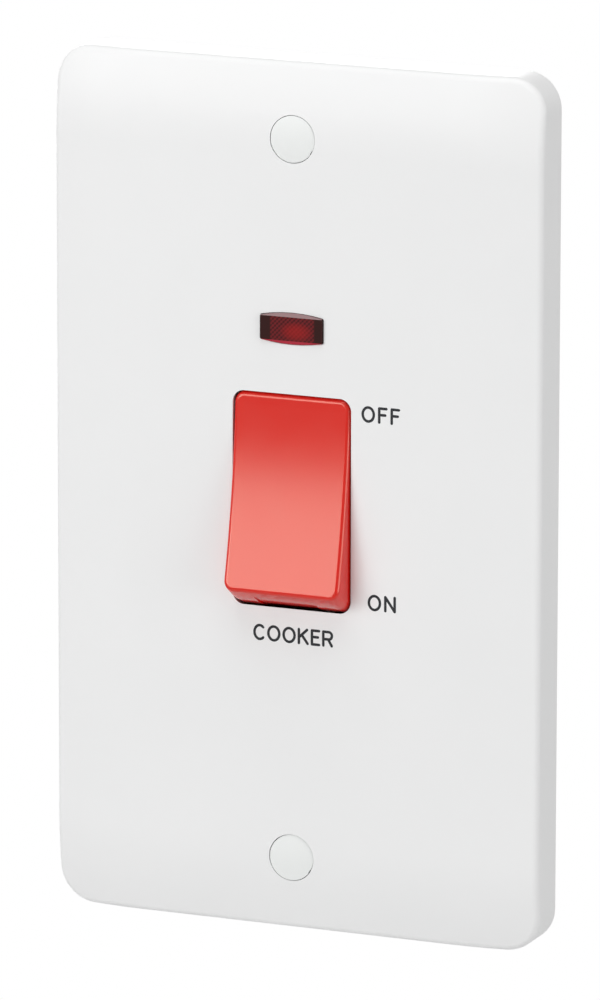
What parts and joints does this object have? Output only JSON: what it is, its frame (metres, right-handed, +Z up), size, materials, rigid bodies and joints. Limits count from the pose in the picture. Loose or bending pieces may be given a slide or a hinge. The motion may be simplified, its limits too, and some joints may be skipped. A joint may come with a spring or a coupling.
{
  "type": "cooker switch",
  "caption": "Double-pole cooker switch on a tall double plate, with a red rocker, a neon lens and capped fixing screws.",
  "frame": {"origin": "middle of the plate's back plane, half-way between the two fixing screws", "axes": "+X right and +Z up as seen from the front, +Y into the wall"},
  "size_m": [0.086, 0.0369, 0.1456],
  "materials": {
    "white_moulding": "smooth white thermoset moulding",
    "red_moulding": "satin red moulding",
    "pale_moulding": "plain off-white moulding",
    "red_lens": "dark red translucent lens",
    "lamp_glass": "clear sealed bulb",
    "resistor_body": "lacquered film resistor",
    "plated_steel": "bright zinc plate",
    "copper_strip": "pressed copper strip",
    "contact_silver": "silver alloy contact",
    "brass_terminal": "machined brass",
    "lead_insulation": "soft black insulation"
  },
  "bodies": {
    "plate": {"earth_screw_left": "plated_steel", "earth_screw_right": "plated_steel", "earth_terminal_left": "brass_terminal", "earth_terminal_right": "brass_terminal", "fixed_tip_line": "contact_silver", "fixed_tip_neutral": "contact_silver", "fixing_screw_bottom": "plated_steel", "fixing_screw_top": "plated_steel", "front_plate": "white_moulding", "housing_screws": "plated_steel", "load_screw_line": "plated_steel", "load_screw_neutral": "plated_steel", "load_terminal_line": "brass_terminal", "load_terminal_neutral": "brass_terminal", "neon_holder": "pale_moulding", "neon_lamp": "lamp_glass", "neon_lead_line": "lead_insulation", "neon_lead_neutral": "lead_insulation", "neon_lens": "red_lens", "neon_resistor": "resistor_body", "rear_housing": "pale_moulding", "screw_cap_bottom": "white_moulding", "screw_cap_top": "white_moulding", "supply_screw_line": "plated_steel", "supply_screw_neutral": "plated_steel", "supply_terminal_line": "brass_terminal", "supply_terminal_neutral": "brass_terminal"},
    "rocker": {"rocker": "red_moulding", "spring_line": "plated_steel", "spring_neutral": "plated_steel"},
    "plunger_line": {"plunger_line": "pale_moulding"},
    "plunger_neutral": {"plunger_neutral": "pale_moulding"},
    "contact_line": {"contact_bar_line": "copper_strip", "moving_tip_line": "contact_silver"},
    "contact_neutral": {"contact_bar_neutral": "copper_strip", "moving_tip_neutral": "contact_silver"}
  },
  "joints": [
    {"name": "rocker_pivot", "type": "hinge", "parent": "plate", "child": "rocker", "pos_m": [0, -0.0028, 0], "axis": [1, 0, 0], "range_deg": [0, 18]},
    {"name": "plunger_line_slide", "type": "slide", "parent": "rocker", "child": "plunger_line", "axis": [0, -0.9877, 0.1564], "range_m": [0, 0.0012], "stiffness_N_per_m": 1000, "deforming": ["spring_line"]},
    {"name": "plunger_neutral_slide", "type": "slide", "parent": "rocker", "child": "plunger_neutral", "axis": [0, -0.9877, 0.1564], "range_m": [0, 0.0012], "stiffness_N_per_m": 1000, "deforming": ["spring_neutral"]},
    {"name": "contact_line_rock", "type": "hinge", "parent": "plate", "child": "contact_line", "pos_m": [-0.0052, 0.0103, 0], "axis": [1, 0, 0], "range_deg": [-15, 0]},
    {"name": "contact_neutral_rock", "type": "hinge", "parent": "plate", "child": "contact_neutral", "pos_m": [0.0052, 0.0103, 0], "axis": [1, 0, 0], "range_deg": [-15, 0]}
  ],
  "couplings": [
    {"joint": "contact_line_rock", "follows": "rocker_pivot", "ratio": -0.83333},
    {"joint": "contact_neutral_rock", "follows": "rocker_pivot", "ratio": -0.83333}
  ]
}
